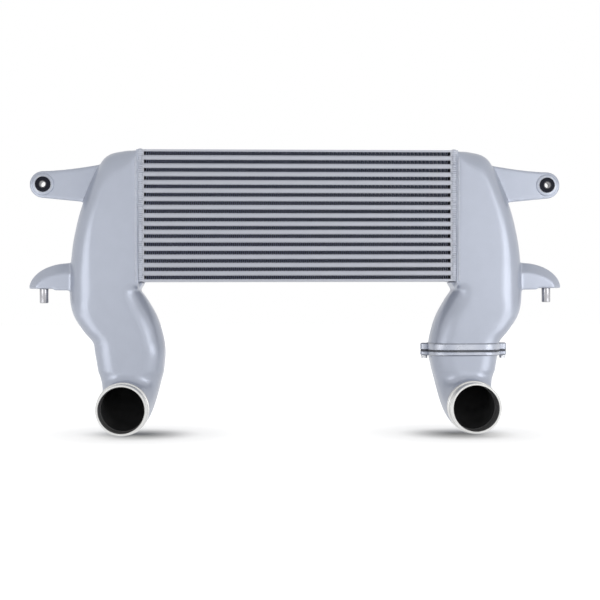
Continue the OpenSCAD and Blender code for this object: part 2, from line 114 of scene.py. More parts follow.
# How far the bend's middle is shifted and its half width grows, and how fast it rounds
LEFT_BEND = (-2.5, 2, 2.6)
RIGHT_BEND = (0, 0, 3.2)

# The rings between two key stations and round the bend, and a ring's least radius
STATION_STEPS = 8
BEND_STEPS = 28
LEAST_R = 1.5

# How finely a casting is fused into one skin, and how often its corners are relaxed
TANK_VOXEL = 1.7
ELBOW_VOXEL = 1.5
SOFT_PASSES = 16

# The bolted joint
GASKET_LOW, GASKET_HIGH = (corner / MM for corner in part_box("flange_gasket"))
GASKET_T = GASKET_HIGH.z - GASKET_LOW.z
UPPER_FLANGE_T = 13.5
LOWER_FLANGE_T = 8.5
FLANGE_LIP = 2.5
FLANGE_EDGE = 2
LUG_R = 7.5
INNER_BOLT_X = GASKET_LOW.x + LUG_R
OUTER_BOLT_X = GASKET_HIGH.x - LUG_R
BOLT_R = 2.96
BOLT_HOLE_R = 3.3
BOLT_HOLE_LOW = -30
HEAD_R = 5 / math.cos(math.radians(30))
HEAD_H = 4
THREAD_PITCH = 1
THREAD_DEPTH = 0.5
WASHER_R = 6.25
WASHER_T = 1.6
HEAD_TOP_Z = JOINT_Z - GASKET_T - LOWER_FLANGE_T - WASHER_T

# The ears and the lower brackets
EAR_X = (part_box("right_mount_sleeve")[0].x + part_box("right_mount_sleeve")[1].x) / 2 / MM
EAR_R = 24.5
EAR_T = 10
EAR_RISE = 13
EAR_FALL = 7.5
EAR_POWER = 1.6
PAD_R = 20
PAD_T = 14
PIN_LOW, PIN_HIGH = (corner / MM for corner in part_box("right_locating_pin"))
PIN_X = (PIN_LOW.x + PIN_HIGH.x) / 2
BRACKET_Z = CORE_BOTTOM - 12.5
BRACKET_L = 74
BRACKET_H = 47
BRACKET_BEVEL_L = 15
BRACKET_BEVEL_H = 18.5
BRACKET_W = 42
BRACKET_RIDGE_W = 5
FOOT_L = 26
FOOT_H = 2.7

# The grommets, the sleeves and the locating pins
GROMMET_HOLE_R = 11
GROMMET_R = 14
SLEEVE_R = 7
SLEEVE_BORE_R = 5.3
SLEEVE_L = 21
PIN_R = 8
PIN_L = 26
SHANK_R = 5
SHANK_L = 20

# The core's fins and bars
AIR_ROWS = 16
FIN_FOLDS = 78
FIN_STRIP = 10.875
FIN_SHEET_T = 0.4
FIN_LEAN = 0.25
FIN_LOUVRE = 2.6
FIN_SHIFT = 0.309
BAR_NOSE = 0.5
BAR_NOSE_BACK = 0.75

# The rippled weld over the joint, and the fine bead that runs beside it on the tank
WELD_STAND = -0.15
WELD_CORNER_R = 2.0
EDGE_WELD_OUT = 1.4
EDGE_WELD_STAND = 1.7
EDGE_WELD_DROP = 12
EDGE_WELD_LEAN = 1.2
WELD_RIPPLES = {"Pitch": 0.0038, "Half Width": 0.0046, "Half Height": 0.0021,
                "Half Length": 0.0021, "Unevenness": 0.3, "Seed": 3}
EDGE_RIPPLES = {"Pitch": 0.0018, "Half Width": 0.0022, "Half Height": 0.0015,
                "Half Length": 0.0014, "Unevenness": 0.25, "Seed": 8}


def mix(a, b, t):
    return a + (b - a) * t


# Mesh tools

def add_object(name, data):
    ob = bpy.data.objects.new(name, data)
    bpy.context.scene.collection.objects.link(ob)
    return ob


def mesh_piece(name, points, faces=(), edges=()):
    """A piece from points in millimetres."""
    mesh = bpy.data.meshes.new(name)
    mesh.from_pydata([[c * MM for c in p] for p in points], edges, faces)
    return add_object(name, mesh)


def edited(piece, change):
    """Runs a change on the piece's mesh."""
    work = bmesh.new()
    work.from_mesh(piece.data)
    change(work)
    work.to_mesh(piece.data)
    work.free()
    return piece


def outward(piece):
    """Turns every face of a closed piece outwards."""
    def turn(work):
        bmesh.ops.remove_doubles(work, verts=work.verts, dist=1e-6)
        bmesh.ops.recalc_face_normals(work, faces=work.faces)
    return edited(piece, turn)


def baked(piece):
    """Applies the piece's modifiers to its mesh."""
    graph = bpy.context.evaluated_depsgraph_get()
    mesh = bpy.data.meshes.new_from_object(piece.evaluated_get(graph))
    piece.modifiers.clear()
    old, piece.data = piece.data, mesh
    bpy.data.meshes.remove(old)
    return piece


def discard(piece):
    mesh = piece.data
    bpy.data.objects.remove(piece)
    bpy.data.meshes.remove(mesh)


def dressed(piece, material):
    piece.data.materials.clear()
    piece.data.materials.append(material)
    return piece


def cut(piece, other, material=None, operation="DIFFERENCE"):
    """Cuts another closed piece out of this one, and gives the cut its own finish."""
    step = piece.modifiers.new("cut", "BOOLEAN")
    step.object = dressed(other, material) if material else other
    step.operation = operation
    step.solver = "MANIFOLD"
    step.material_mode = "TRANSFER"
    baked(piece)
    discard(other)


def grow(piece, other, material=None):
    """Joins another closed piece to this one, with its own finish."""
    cut(piece, other, material, "UNION")


def joined(piece, others):
    """Puts the meshes of other pieces into this piece, as shells that may overlap."""
    def add(work):
        for other in others:
            work.from_mesh(other.data)
            discard(other)
    return edited(piece, add)


def softened(piece, voxel):
    """Fuses overlapping shells into one skin and softens it as a casting's corners are."""
    fuse = piece.modifiers.new("fuse", "REMESH")
    fuse.mode = "VOXEL"
    fuse.voxel_size = voxel * MM
    relax = piece.modifiers.new("relax", "SMOOTH")
    relax.factor = 0.5
    relax.iterations = SOFT_PASSES
    return baked(piece)


def smooth(piece, angle=35):
    """Shades a piece smooth, with its sharp edges kept."""
    piece.data.shade_smooth()
    piece.data.set_sharp_from_angle(angle=math.radians(angle))
    return piece


def mirrored(piece):
    """Turns a piece of the right side into one of the left side."""
    piece.data.transform(Matrix.Scale(-1, 4, (1, 0, 0)))
    piece.data.flip_normals()
    return piece


def lofted(name, rings):
    """A closed solid through rings that have the same number of points."""
    n = len(rings[0])
    points = [p for ring in rings for p in ring]
    faces = [(i * n + j, i * n + (j + 1) % n, (i + 1) * n + (j + 1) % n, (i + 1) * n + j)
             for i in range(len(rings) - 1) for j in range(n)]
    last = (len(rings) - 1) * n
    faces += [tuple(range(n)), tuple(range(last, last + n))]
    return outward(mesh_piece(name, points, faces))


def extruded(name, outline, half):
    """An outline of x and z, half as thick as given on each side of the middle."""
    return lofted(name, [[(x, -h, z) for x, z in outline] for h in (-half, half)])


def turned(name, profile, place, sides=128):
    """A profile of radius and height, closed in itself or at its axis, turned all round."""
    n = len(profile)
    points, faces = [], []
    for k in range(sides):
        a = 2 * math.pi * k / sides
        points += [place(r * math.cos(a), r * math.sin(a), h) for r, h in profile]
        m = (k + 1) % sides
        faces += [(k * n + j, m * n + j, m * n + (j + 1) % n, k * n + (j + 1) % n)
                  for j in range(n)]
    return outward(mesh_piece(name, points, faces))


def box_piece(name, low, high):
    x0, y0, z0 = low
    x1, y1, z1 = high
    return lofted(name, [[(x0, y0, z), (x1, y0, z), (x1, y1, z), (x0, y1, z)] for z in (z0, z1)])


def arc(cx, cy, r, start, end, steps):
    """Points of an arc, with its angles in degrees."""
    angles = [math.radians(mix(start, end, k / steps)) for k in range(steps + 1)]
    return [(cx + r * math.cos(a), cy + r * math.sin(a)) for a in angles]


def rounded(a, b, r_out, r_in, steps=12):
    """A rounded rectangle of half width a and half depth b."""
    most = min(a, b) - 0.3
    o, i = min(r_out, most), min(r_in, most)
    corners = ((a - o, b - o, o), (i - a, b - i, i), (i - a, i - b, i), (a - o, o - b, o))
    return [point for k, corner in enumerate(corners)
            for point in arc(*corner, 90 * k, 90 * k + 90, steps)]


def on_both_faces(profile):
    """A profile given for the far face, from its outside in, with the near face added."""
    return [(r, -h) for r, h in reversed(profile)] + profile


def upright(x, z):
    """Round an upright line at x, h above z."""
    return lambda a, b, h: (x + a, b, z + h)


def ear_place(a, b, h):
    """Round the mounting hole's line, h behind the middle of the ear."""
    return (EAR_X + a, h, b)


def spigot_place(a, b, h):
    """Round the outlet's line, h in front of the part's middle."""
    return (OUTLET_X + a, -h, OUTLET_Z + b)


# The casting's form: stations round the corner from the core down to the joint

def curve(a, b, c, d, t):
    return [0.5 * (2 * q + (r - p) * t + (2 * p - 5 * q + 4 * r - s) * t * t
                   + (3 * q - p - 3 * r + s) * t ** 3) for p, q, r, s in zip(a, b, c, d)]


def blended(keys):
    """Key stations blended into more stations on a smooth curve."""
    before = [2 * a - b for a, b in zip(keys[0], keys[1])]
    after = [2 * a - b for a, b in zip(keys[-1], keys[-2])]
    k = [before] + keys + [after]
    spans = [curve(*k[i - 1:i + 3], j / STATION_STEPS)
             for i in range(1, len(keys)) for j in range(STATION_STEPS)]
    return spans + [keys[-1]]


def flank_x(z):
    """Where the flank is between the shoulder and its widest place."""
    way = (z - BULGE_Z) / (CORE_TOP - SHOULDER_DROP - BULGE_Z)
    return BULGE_X - (TANK_BULGE - SHOULDER_OUT) * max(way, 0) ** FLANK_POWER


def throat_station(in_x, in_z, out, *rest):
    return [CORE_END + in_x * THROAT_OUT, CORE_BOTTOM - in_z * THROAT_DROP, *out, *rest]


def neck_station(in_x, in_z, out_x, out_z, r_out, r_in):
    return [mix(CORE_END + THROAT_OUT, NECK_X - NECK_W / 2, in_x),
            mix(CORE_BOTTOM - THROAT_DROP, JOINT_Z, in_z),
            mix(BULGE_X, NECK_X + NECK_W / 2, out_x), mix(BULGE_Z, JOINT_Z, out_z),
            TANK_D / 2, r_out, r_in, 0]


def tank_stations():
    """Inner x and z, outer x and z, half depth, outer and inner radius, extra inner wall."""
    mouth = CORE_D / 2 - WELD_FLANGE_STEP
    deep = TANK_D / 2
    shoulder_z = CORE_TOP - SHOULDER_DROP
    flat_x = CORE_END + SHOULDER_FLAT
    round_x = CORE_END + SHOULDER_OUT
    start_x = CORE_END + WELD_FLANGE_T / 2
    flank = [(flank_x(z), z) for z in (mix(shoulder_z, BULGE_Z, share)
                                       for share in (0.284, 0.547, 0.784))]
    start = [start_x, CORE_BOTTOM + WELD_FLANGE_STEP, start_x, CORE_TOP - WELD_FLANGE_STEP,
             mouth, 6, 2, 0]
    throat = (
        (0.71, 0.1, (start_x + 3, CORE_TOP - 0.4), mix(mouth, deep, 0.35), 10, 2, 1),
        (0.72, 0.25, (start_x + 11, CORE_TOP), deep - 0.3, 22, 4, 2.5),
        (0.73, 0.43, (flat_x, CORE_TOP + 0.2), deep, 36, 5, 5),
        (0.8, 0.72, (mix(flat_x, round_x, 0.6), CORE_TOP - SHOULDER_DROP * 0.23), deep, 43, 7, 7),
        (0.9, 0.87, (round_x, shoulder_z), deep, FLANK_R, 10, 6),
        (1, 0.94, flank[0], deep, FLANK_R, 14, 3.5),
        (1, 1, flank[1], deep, FLANK_R, 19, 1.5),
        (0.9, 1.09, flank[2], deep, FLANK_R, 25, 0.3),
    )
    neck = (
        (0.07, 0.04, 0, 0, FLANK_R, 32),
        (0.33, 0.18, 0.15, 0.335, 36, 40),
        (0.68, 0.44, 0.545, 0.63, 33, 40),
        (0.91, 0.73, 0.93, 0.84, 34, 40),
        (1, 1, 1, 1, NECK_R_OUT, NECK_R_IN),
    )
    return ([start] + [throat_station(*row) for row in throat]
            + [neck_station(*row) for row in neck])


def station_ring(station, inset):
    """The outline of a station, moved in by the wall."""
    in_x, in_z, out_x, out_z, half_d, r_out, r_in, thick = station
    length = math.hypot(out_x - in_x, out_z - in_z)
    dx, dz = (out_x - in_x) / length, (out_z - in_z) / length
    if not inset:
        thick = 0
    half = (length - thick) / 2 - inset
    x, z = in_x + dx * (length + thick) / 2, in_z + dz * (length + thick) / 2
    outline = rounded(half, min(half_d, TANK_D / 2) - inset,
                      max(r_out - inset, LEAST_R), max(r_in - inset, LEAST_R))
    return [(x + u * dx, v, z + u * dz) for u, v in outline]


def bend_ring(t, inset, form):
    """The outline of the bend at a share of its quarter turn."""
    shift, wider, power = form
    turn = math.radians(90 * t)
    ease = t * t * (3 - 2 * t)
    mid_x = mix(BEND_X + shift, OUTLET_X, t * t)
    half = OUTLET_NECK_R + (BEND_W / 2 + wider - OUTLET_NECK_R) * (1 - t) ** power
    deep, r_out, r_in = (mix(size, OUTLET_NECK_R, ease) - inset
                         for size in (TANK_D / 2, BEND_R_OUT, BEND_R_IN))
    c, s = math.cos(turn), math.sin(turn)
    return [(mid_x + u, -BEND_R * (1 - c) + v * c, BEND_Z - BEND_R * s - v * s)
            for u, v in rounded(half - inset, deep, r_out, r_in)]


def casting_rings(keys, inset, bend):
    """Outlines from the first key station to the last one, or on round the outlet bend."""
    if not bend:
        return [station_ring(station, inset) for station in blended(keys)]
    mid, half = BEND_X + bend[0], BEND_W / 2 + bend[1]
    mouth = [mid - half, BEND_Z, mid + half, BEND_Z, TANK_D / 2, BEND_R_OUT, BEND_R_IN, 0]
    rings = casting_rings(keys + [mouth], inset, None)
    return rings + [bend_ring(k / BEND_STEPS, inset, bend) for k in range(1, BEND_STEPS + 1)]


# Node helpers, for materials and for patterns

def put(kind, inputs=None, tree=None, **settings):
    """Adds a node, with values or links on its inputs, by name or by number. It goes into the
    tree that its links come from, or into a given one."""
    inputs = inputs or {}
    links = [key for key, value in inputs.items() if isinstance(value, bpy.types.NodeSocket)]
    tree = tree or inputs[links[0]].id_data
    node = tree.nodes.new(kind)
    for key, value in settings.items():
        setattr(node, key, value)
    for key, value in inputs.items():
        if key in links:
            tree.links.new(value, node.inputs[key])
        else:
            node.inputs[key].default_value = value
    return node


def calc(operation, *values):
    return put("ShaderNodeMath", dict(enumerate(values)), operation=operation).outputs[0]


def plus(a, b):
    return calc("ADD", a, b)


def times(a, b):
    return calc("MULTIPLY", a, b)


def greatest(a, b):
    return calc("MAXIMUM", a, b)


def vector_calc(operation, *values):
    node = put("ShaderNodeVectorMath", dict(enumerate(values)), operation=operation)
    return node.outputs["Value" if operation in ("LENGTH", "DOT_PRODUCT") else "Vector"]


def scaled(vector, by):
    return put("ShaderNodeVectorMath", {0: vector, "Scale": by}, operation="SCALE").outputs[0]


def split(vector):
    return put("ShaderNodeSeparateXYZ", {0: vector}).outputs


def vector_of(*values):
    return put("ShaderNodeCombineXYZ", dict(enumerate(values))).outputs[0]


def spread(value, low, high, to_low=0.0, to_high=1.0, **settings):
    """Maps a value from between two limits to between two others, and holds it there."""
    limits = {"Value": value, "From Min": low, "From Max": high,
              "To Min": to_low, "To Max": to_high}
    return put("ShaderNodeMapRange", limits, **settings).outputs["Result"]


def noise(vector, scale, detail=2.0):
    inputs = {"Vector": vector, "Scale": scale, "Detail": detail}
    return put("ShaderNodeTexNoise", inputs).outputs[0]


def tinted(amount, first, second):
    """Mixes two colours by an amount."""
    first, second = (c if isinstance(c, bpy.types.NodeSocket) else (*c, 1) for c in (first, second))
    return put("ShaderNodeMix", {0: amount, 6: first, 7: second}, data_type="RGBA").outputs[2]


def stained(colour, mask, share, stain):
    """Lays a share of another colour over a colour where a mask is."""
    return tinted(times(mask, share), colour, stain)


def add_inputs(tree, inputs):
    """Names the inputs of a group and gives their first values."""
    kinds = {int: "NodeSocketInt", float: "NodeSocketFloat", tuple: "NodeSocketVector"}
    for label, value in inputs.items():
        socket = tree.interface.new_socket(label, in_out="INPUT", socket_type=kinds[type(value)])
        socket.default_value = value


# Effects that several finishes share: each function gives the outputs of its group

def cast_skin(at, given):
    """The skin of a sand casting: broad swells, a fine grain, and a mottled tone."""
    grain = times(noise(at, given["Grain Scale"], 3.0), given["Grain Depth"])
    swell = times(noise(at, given["Swell Scale"], 1.0), given["Swell Depth"])
    return {"Height": plus(grain, swell), "Mottle": spread(noise(at, 45.0, 4.0), 0.3, 0.7)}


def worn_edges_and_nook_shade(at, given):
    """Rubbed edges in patches, and a painted shade in crevices from the occlusion of nearby
    surfaces.
    """
    bend = put("ShaderNodeNewGeometry", tree=at.id_data).outputs["Pointiness"]
    patches = spread(noise(at, given["Patch Scale"], 3.0), 0.42, 0.62)
    # painted shade: the occlusion of nearby surfaces darkens the colour in crevices
    nook = put("ShaderNodeAmbientOcclusion", {"Distance": given["Nook Size"]}, samples=6)
    return {"Edge": times(spread(bend, 0.56, 0.66), patches),
            "Painted Shade": spread(nook.outputs["AO"], 0.75, 0.25)}


def flecks(at, given):
    """Flat grains of many tones, as aluminium flakes or zinc crystals show them."""
    cells = put("ShaderNodeTexVoronoi", {"Vector": at, "Scale": given["Scale"]})
    return {"Tone": put("ShaderNodeSeparateColor", {0: cells.outputs["Color"]}).outputs[0]}


def grime(at, given):
    """Soft smudges and handling marks that change the gloss."""
    return {"Smudge": spread(noise(at, given["Scale"], 5.0), 0.35, 0.7)}


def drawn_lines(at, given):
    """Fine lines along a drawn bar or a rolled plate."""
    return {"Line": noise(vector_calc("MULTIPLY", at, given["Stretch"]), 1.0, 3.0)}


def turned_marks(at, given):
    """Tool lines round an axis. The part is alike on both sides, so x counts from the middle."""
    x, y, z = split(at)
    away = vector_calc("SUBTRACT", vector_of(calc("ABSOLUTE", x), y, z), given["Centre"])
    along = vector_calc("DOT_PRODUCT", away, given["Axis"])
    across = vector_calc("SUBTRACT", away, scaled(given["Axis"], along))
    place = plus(along, vector_calc("LENGTH", across))
    line = put("ShaderNodeTexNoise", {"W": place, "Scale": given["Lines"], "Detail": 1.0},
               noise_dimensions="1D")
    return {"Line": line.outputs[0]}


def effect(build, inputs):
    """A shader node group with named inputs and outputs."""
    tree = bpy.data.node_groups.new(build.__name__, "ShaderNodeTree")
    add_inputs(tree, {"Vector": (0.0, 0.0, 0.0), **inputs})
    given = tree.nodes.new("NodeGroupInput").outputs
    results = build(given["Vector"], given)
    for label in results:
        tree.interface.new_socket(label, in_out="OUTPUT", socket_type="NodeSocketFloat")
    end = tree.nodes.new("NodeGroupOutput")
    for label, value in results.items():
        tree.links.new(value, end.inputs[label])
    return tree


CAST_SKIN = effect(cast_skin, {"Grain Scale": 450.0, "Grain Depth": 0.00004,
                               "Swell Scale": 16.0, "Swell Depth": 0.0006})
WORN_EDGES_AND_NOOK_SHADE = effect(worn_edges_and_nook_shade, {"Patch Scale": 140.0, "Nook Size": 0.008})
FLECKS = effect(flecks, {"Scale": 900.0})
GRIME = effect(grime, {"Scale": 30.0})
DRAWN_LINES = effect(drawn_lines, {"Stretch": (5.0, 700.0, 700.0)})
TURNED_MARKS = effect(turned_marks, {"Centre": (0.0, 0.0, 0.0), "Axis": (0.0, 1.0, 0.0),
                                     "Lines": 2500.0})


# Finishes: each function gives a colour, a roughness and a height in metres

PAINT_TONE = (0.47, 0.505, 0.595)
PAINT_SHADE = (0.455, 0.49, 0.577)
FLAKE_AND_HIGHLIGHT_TONE = (0.62, 0.65, 0.73)
# The tone of the painted shade in crevices and at the flange rims
PAINTED_SHADE_TONE = (0.16, 0.17, 0.2)
BARE_METAL = (0.72, 0.72, 0.72)
FIN_EDGE_TONE = (0.325, 0.355, 0.47)
RUBBED_DARK = (0.09, 0.09, 0.09)

# How far in from a joint flange's outer face its painted shade begins and is full, in metres
RIM_SHADE_BAND = (0.0024, 0.0017)

# Where the paint's dust begins on a fin and where it is full, from the middle of the depth
FIN_DUST = (0.0405, 0.0436)

# The scale and depth of a skin's grain, and the scale and depth of its swells
CAST_FLAT = (450.0, 0.000012, 16.0, 0.0005)
BAR_FLAT = (800.0, 0.00001, 12.0, 0.0001)
WELD_FLAT = (1300.0, 0.0001, 200.0, 0.0002)


def with_effect(group, coords, *values):
    """Places an effect, with values for its first inputs after the vector."""
    inputs = dict(enumerate((coords, *values)))
    return put("ShaderNodeGroup", inputs, coords.id_data, node_tree=group).outputs


def dusty_rims(coords, colour):
    """Darkens the outer rims of the joint flanges with a painted shade."""
    height = split(coords)[2]
    top = (JOINT_Z + UPPER_FLANGE_T) * MM
    under = (JOINT_Z - GASKET_T - LOWER_FLANGE_T) * MM
    rims = greatest(spread(height, *(top - down for down in RIM_SHADE_BAND)),
                    spread(height, *(under + up for up in RIM_SHADE_BAND)))
    return stained(colour, rims, 0.5, PAINTED_SHADE_TONE)


def paint(coords, tone, shade, skin, gloss, fleck_share=0.0, line_depth=0.0, rims=False,
          rubbed=0.6):
    """Silver spray paint: two mottled tones, metal flakes, a painted shade in crevices and rubbed
    edges.
    """
    cast = with_effect(CAST_SKIN, coords, *skin)
    wear = with_effect(WORN_EDGES_AND_NOOK_SHADE, coords)
    flake = with_effect(FLECKS, coords, 700.0)
    smudge = with_effect(GRIME, coords, 24.0)["Smudge"]
    colour = tinted(cast["Mottle"], shade, tone)
    colour = stained(colour, flake["Tone"], fleck_share, FLAKE_AND_HIGHLIGHT_TONE)
    # painted shade in crevices
    colour = stained(colour, wear["Painted Shade"], 0.55, PAINTED_SHADE_TONE)
    colour = stained(colour, wear["Edge"], rubbed, BARE_METAL)
    # painted shade along the outer rims of the joint flanges
    if rims:
        colour = dusty_rims(coords, colour)
    height = cast["Height"]
    if line_depth:
        height = plus(height, times(with_effect(DRAWN_LINES, coords)["Line"], line_depth))
    return colour, spread(smudge, 0, 1, *gloss), height


def machined(coords, tone, shade, gloss, centre, axis, lines=2500.0, depth=0.000015):
    """Bare metal with tool lines round an axis, a little tarnish, and a painted shade in crevices.
    """
    line = with_effect(TURNED_MARKS, coords, centre, axis, lines)["Line"]
    smudge = with_effect(GRIME, coords, 40.0)["Smudge"]
    nook_shade = with_effect(WORN_EDGES_AND_NOOK_SHADE, coords)["Painted Shade"]
    # painted shade in crevices
    colour = stained(tinted(smudge, tone, shade), nook_shade, 0.6, PAINTED_SHADE_TONE)
    roughness = plus(spread(smudge, 0, 1, *gloss), spread(line, 0.3, 0.7, -0.05, 0.08))
    return colour, roughness, times(line, depth)


def plated(coords, tone, shade, gloss=(0.24, 0.42)):
    """Zinc plating with its faint crystals, and a painted shade in crevices."""
    crystals = with_effect(FLECKS, coords, 1200.0)
    smudge = with_effect(GRIME, coords, 120.0)["Smudge"]
    nook_shade = with_effect(WORN_EDGES_AND_NOOK_SHADE, coords, 400.0)["Painted Shade"]
    # painted shade in crevices
    colour = stained(tinted(crystals["Tone"], tone, shade), nook_shade, 0.6, PAINTED_SHADE_TONE)
    return colour, spread(smudge, 0, 1, *gloss), times(noise(coords, 2500.0), 0.00001)


def dark(coords, tone, shade, gloss, grain_scale, grain_depth):
    """A dark, dull surface with a fine grain: rubber, gasket board, and the inside of the castings,
    whose dark tone is painted shade.
    """
    skin = with_effect(CAST_SKIN, coords, grain_scale, grain_depth, 16.0, 0.0001)
    smudge = with_effect(GRIME, coords, 90.0)["Smudge"]
    edge = with_effect(WORN_EDGES_AND_NOOK_SHADE, coords, 300.0)["Edge"]
    colour = stained(tinted(skin["Mottle"], tone, shade), edge, 0.35, RUBBED_DARK)
    return colour, spread(smudge, 0, 1, *gloss), skin["Height"]


def folded_strip(coords, deep, face):
    """Folded fin strip: dark between the bars, and dusted with paint at the two faces."""
    line = with_effect(DRAWN_LINES, coords, (900.0, 60.0, 900.0))["Line"]
    flake = with_effect(FLECKS, coords, 1500.0)["Tone"]
    normal = put("ShaderNodeNewGeometry", tree=coords.id_data).outputs["True Normal"]
    depth, facing = (calc("ABSOLUTE", split(vector)[1]) for vector in (coords, normal))
    dusted = spread(depth, *FIN_DUST)
    colour = tinted(times(dusted, spread(flake, 0, 1, 0.6, 1)), deep, face)
    colour = stained(colour, dusted, spread(facing, 0.6, 0.9), FIN_EDGE_TONE)
    return colour, spread(flake, 0, 1, 0.4, 0.6), times(line, 0.00002)


def new_material(name, constants):
    """A material with constants on its shader: its shader and its object coordinates too."""
    material = bpy.data.materials.new(name)
    material.use_nodes = True
    shader = material.node_tree.nodes["Principled BSDF"]
    for label, value in constants.items():
        shader.inputs[label].default_value = value
    return material, shader, put("ShaderNodeTexCoord", tree=material.node_tree).outputs["Object"]


def finish(name, build, *values, **options):
    """A material whose colour, roughness and height come from a function."""
    material, shader, coords = new_material(name, SHADER_VALUES[build])
    colour, roughness, height = build(coords, *values, **options)
    bump = put("ShaderNodeBump", {"Strength": 1.0, "Distance": 1.0, "Height": height})
    for label, value in (("Base Color", colour), ("Roughness", roughness),
                         ("Normal", bump.outputs["Normal"])):
        material.node_tree.links.new(value, shader.inputs[label])
    return material


SHADER_VALUES = {
    paint: {"Metallic": 0.35, "Specular IOR Level": 0.4},
    machined: {"Metallic": 1.0},
    plated: {"Metallic": 1.0},
    dark: {"Metallic": 0.0, "Specular IOR Level": 0.15},
    folded_strip: {"Metallic": 0.3},
}

# Each finish has a tone, a shade and, between two roughnesses, its gloss
cast_paint = finish("silver_cast_paint", paint, PAINT_TONE, PAINT_SHADE, CAST_FLAT, (0.294, 0.32),
                    fleck_share=0.03)
# The flange paint is the cast paint made lighter: a painted highlight on the joint flanges and on
# the fine bead beside each weld, with a painted shade at the flange rims.
highlit_flange_paint = finish("silver_flange_paint_highlit", paint, FLAKE_AND_HIGHLIGHT_TONE, PAINT_TONE, CAST_FLAT,
                      (0.262, 0.288), rims=True)
core_paint = finish("silver_core_paint", paint, (0.507, 0.526, 0.588), (0.488, 0.507, 0.568),
                    BAR_FLAT, (0.454, 0.482), line_depth=0.000006, rubbed=0.05)
weld_paint = finish("painted_weld_metal", paint, (0.56, 0.59, 0.67), (0.52, 0.55, 0.63),
                    WELD_FLAT, (0.39, 0.417), fleck_share=0.3)
spigot_metal = finish("turned_aluminium", machined, (0.64, 0.64, 0.635), (0.55, 0.55, 0.54),
                      (0.22, 0.34), (OUTLET_X * MM, 0.0, OUTLET_Z * MM), (0.0, 1.0, 0.0))
pin_metal = finish("ground_steel", machined, (0.4, 0.4, 0.42), (0.3, 0.3, 0.32), (0.12, 0.2),
                   (PIN_X * MM, 0.0, 0.0), (0.0, 0.0, 1.0), 4000.0, 0.000004)
zinc = finish("zinc_plated_steel", plated, (0.66, 0.67, 0.68), (0.52, 0.53, 0.56))
dark_steel = finish("dark_plated_steel", plated, (0.12, 0.12, 0.13), (0.07, 0.07, 0.08))
# The bore and the inside of the castings have dark tones as painted shade; the band at the bore's
# mouth is its machined part, darkened the same way.
shaded_bore_band = finish("machined_bore_painted_shade", dark, (0.17, 0.17, 0.173), (0.22, 0.22, 0.223), (0.3, 0.4),
                   900.0, 0.00001)
shaded_bore_skin = finish("dark_bore_painted_shade", dark, (0.05, 0.05, 0.052), (0.075, 0.075, 0.077), (0.45, 0.65),
                   600.0, 0.0001)
rubber = finish("black_rubber", dark, (0.009, 0.01, 0.018), (0.016, 0.018, 0.027), (0.5, 0.7),
                1500.0, 0.00003)
gasket_board = finish("gasket_board", dark, (0.15, 0.155, 0.17), (0.21, 0.215, 0.23),
                      (0.7, 0.85), 2200.0, 0.00008)
fin_metal = finish("dark_fin_strip", folded_strip, (0.018, 0.025, 0.062), (0.096, 0.118, 0.235))
charge_fin_metal = finish("charge_fin_strip", folded_strip, (0.3, 0.3, 0.31), (0.34, 0.34, 0.35))


# Patterns of what repeats: each function gives the copies that its tree makes of a shape

def laid_in_rows(tree, given):
    """Copies of a shape along one step, in strips along a second one, each strip shifted."""
    index = put("GeometryNodeInputIndex", tree=tree).outputs[0]
    strip = calc("FLOOR", calc("DIVIDE", index, given["Count"]))
    turn = plus(times(strip, given["Shift"]), 0.5)
    shift = calc("SUBTRACT", calc("FRACT", turn), 0.5)
    along = scaled(given["Step"], plus(calc("MODULO", index, given["Count"]), shift))
    at = vector_calc("ADD", along, scaled(given["Strip Step"], strip))
    total = times(given["Count"], given["Strips"])
    points = put("GeometryNodePoints", {"Count": total, "Position": at}).outputs[0]
    return put("GeometryNodeInstanceOnPoints", {"Points": points, "Instance": given["Shape"]})


def weld_run(tree, given):
    """Overlapping ripples of weld metal along a path."""
    path = put("GeometryNodeMeshToCurve", {0: given["Shape"]}).outputs[0]
    run = put("GeometryNodeCurveToPoints", {"Curve": path, "Length": given["Pitch"]},
              mode="LENGTH").outputs
    ripple = put("GeometryNodeMeshUVSphere", {"Segments": 12, "Rings": 7, "Radius": 1.0}, tree)
    size = vector_of(given["Half Width"], given["Half Height"], given["Half Length"])
    low = calc("SUBTRACT", 1.0, given["Unevenness"])
    high = plus(1.0, given["Unevenness"])
    uneven = put("FunctionNodeRandomValue",
                 {0: vector_of(low, low, low), 1: vector_of(high, 1.0, high),
                  "Seed": given["Seed"]}, data_type="FLOAT_VECTOR").outputs[0]
    copies = put("GeometryNodeInstanceOnPoints",
                 {"Points": run["Points"], "Instance": ripple.outputs[0],
                  "Rotation": run["Rotation"], "Scale": vector_calc("MULTIPLY", size, uneven)})
    return put("GeometryNodeSetShadeSmooth", {0: copies.outputs[0]})


def pattern(build, inputs):
    """A geometry node tree with named inputs, whose copies become one dressed mesh."""
    tree = bpy.data.node_groups.new(build.__name__, "GeometryNodeTree")
    tree.interface.new_socket("Shape", in_out="INPUT", socket_type="NodeSocketGeometry")
    add_inputs(tree, inputs)
    tree.interface.new_socket("Finish", in_out="INPUT", socket_type="NodeSocketMaterial")
    tree.interface.new_socket("Shape", in_out="OUTPUT", socket_type="NodeSocketGeometry")
    given = tree.nodes.new("NodeGroupInput").outputs
    copies = build(tree, given).outputs[0]
    real = put("GeometryNodeRealizeInstances", {0: copies}).outputs[0]
    finished = put("GeometryNodeSetMaterial", {"Geometry": real, "Material": given["Finish"]})
    tree.links.new(finished.outputs[0], tree.nodes.new("NodeGroupOutput").inputs[0])
    return tree


